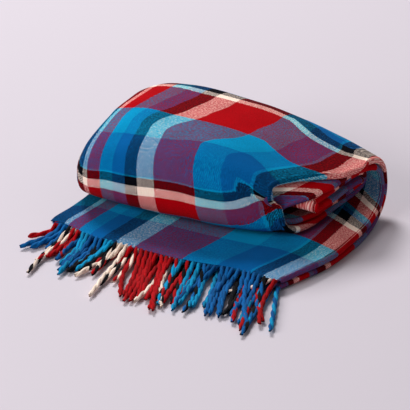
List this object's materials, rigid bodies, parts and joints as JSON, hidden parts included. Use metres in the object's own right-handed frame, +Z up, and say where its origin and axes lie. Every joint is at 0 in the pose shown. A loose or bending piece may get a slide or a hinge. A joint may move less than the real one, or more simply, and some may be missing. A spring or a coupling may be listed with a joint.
{
  "type": "travel rug",
  "caption": "Checked woollen travel rug, folded in four, folded across and loosely rolled, with its fringed ends lying out in front.",
  "frame": {"origin": "middle of the bounding box on the surface that the rug rests on", "axes": "+X along the roll towards its open end, -Y towards the fringe, +Z up"},
  "size_m": [0.4223, 0.4335, 0.1581],
  "materials": {
    "wool_check": "matt, napped wool twill",
    "wool_fringe": "matt, twisted wool yarn"
  },
  "bodies": {
    "root": {"rug": "wool_check", "fringe_upper": "wool_fringe", "fringe_lower": "wool_fringe"}
  },
  "joints": []
}
